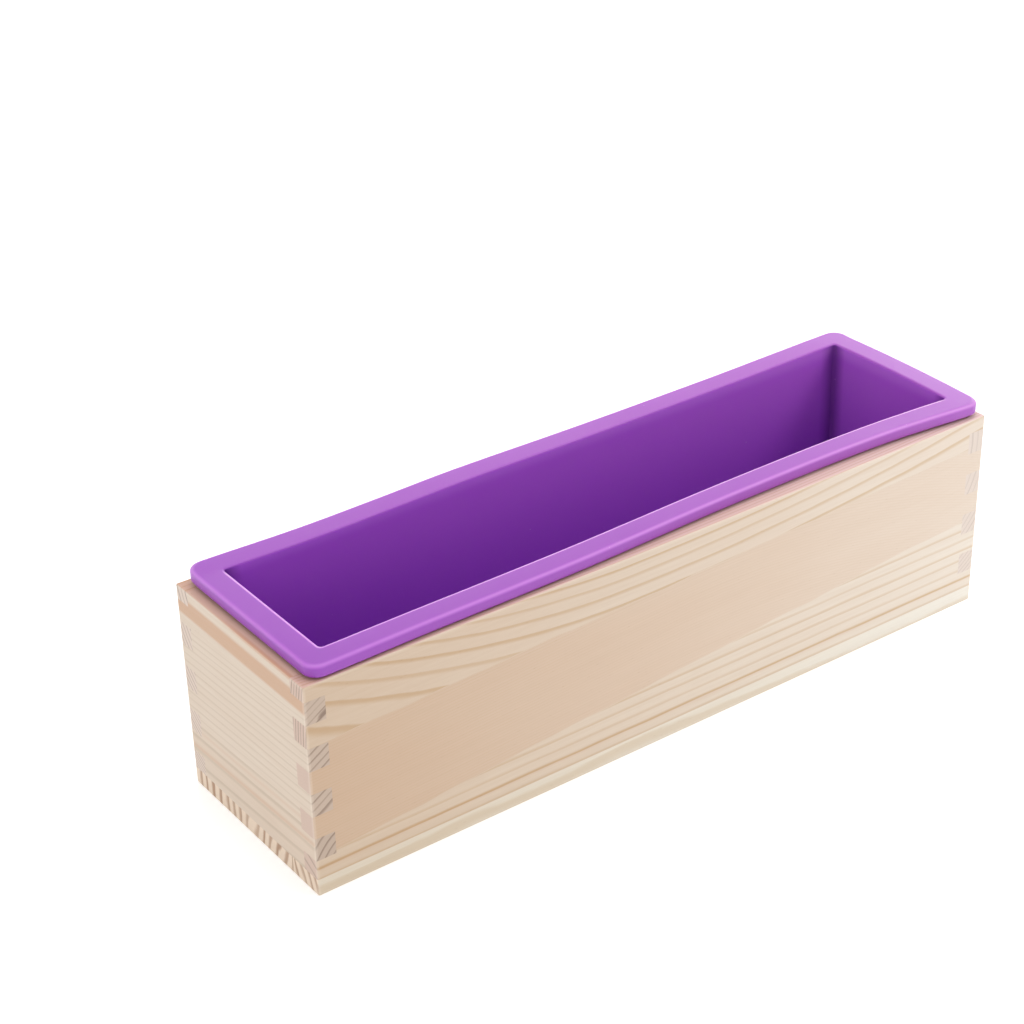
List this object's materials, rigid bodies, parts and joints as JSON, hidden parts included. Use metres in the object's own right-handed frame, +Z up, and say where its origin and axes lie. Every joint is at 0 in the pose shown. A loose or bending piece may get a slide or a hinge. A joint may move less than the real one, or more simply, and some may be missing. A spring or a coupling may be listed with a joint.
{
  "type": "soap loaf mould",
  "caption": "Finger-jointed pine box with a lift-out silicone liner whose thick rim overhangs the walls, for pouring a loaf of soap.",
  "frame": {"origin": "bottom centre of the wooden box, on the surface it stands on", "axes": "+X along the length of the box, +Y across it towards the back long side, +Z up out of the mouth"},
  "size_m": [0.3, 0.0804, 0.0868],
  "materials": {
    "pine": "bare sanded pine",
    "silicone": "matte, slightly translucent violet silicone"
  },
  "bodies": {
    "box": {"side_board_front": "pine", "side_board_back": "pine", "end_board_left": "pine", "end_board_right": "pine", "bottom_board": "pine"},
    "liner": {"silicone_liner": "silicone"}
  },
  "joints": [
    {"name": "liner_lift", "type": "slide", "parent": "box", "child": "liner", "axis": [0, 0, 1], "range_m": [0, 0.09]}
  ]
}
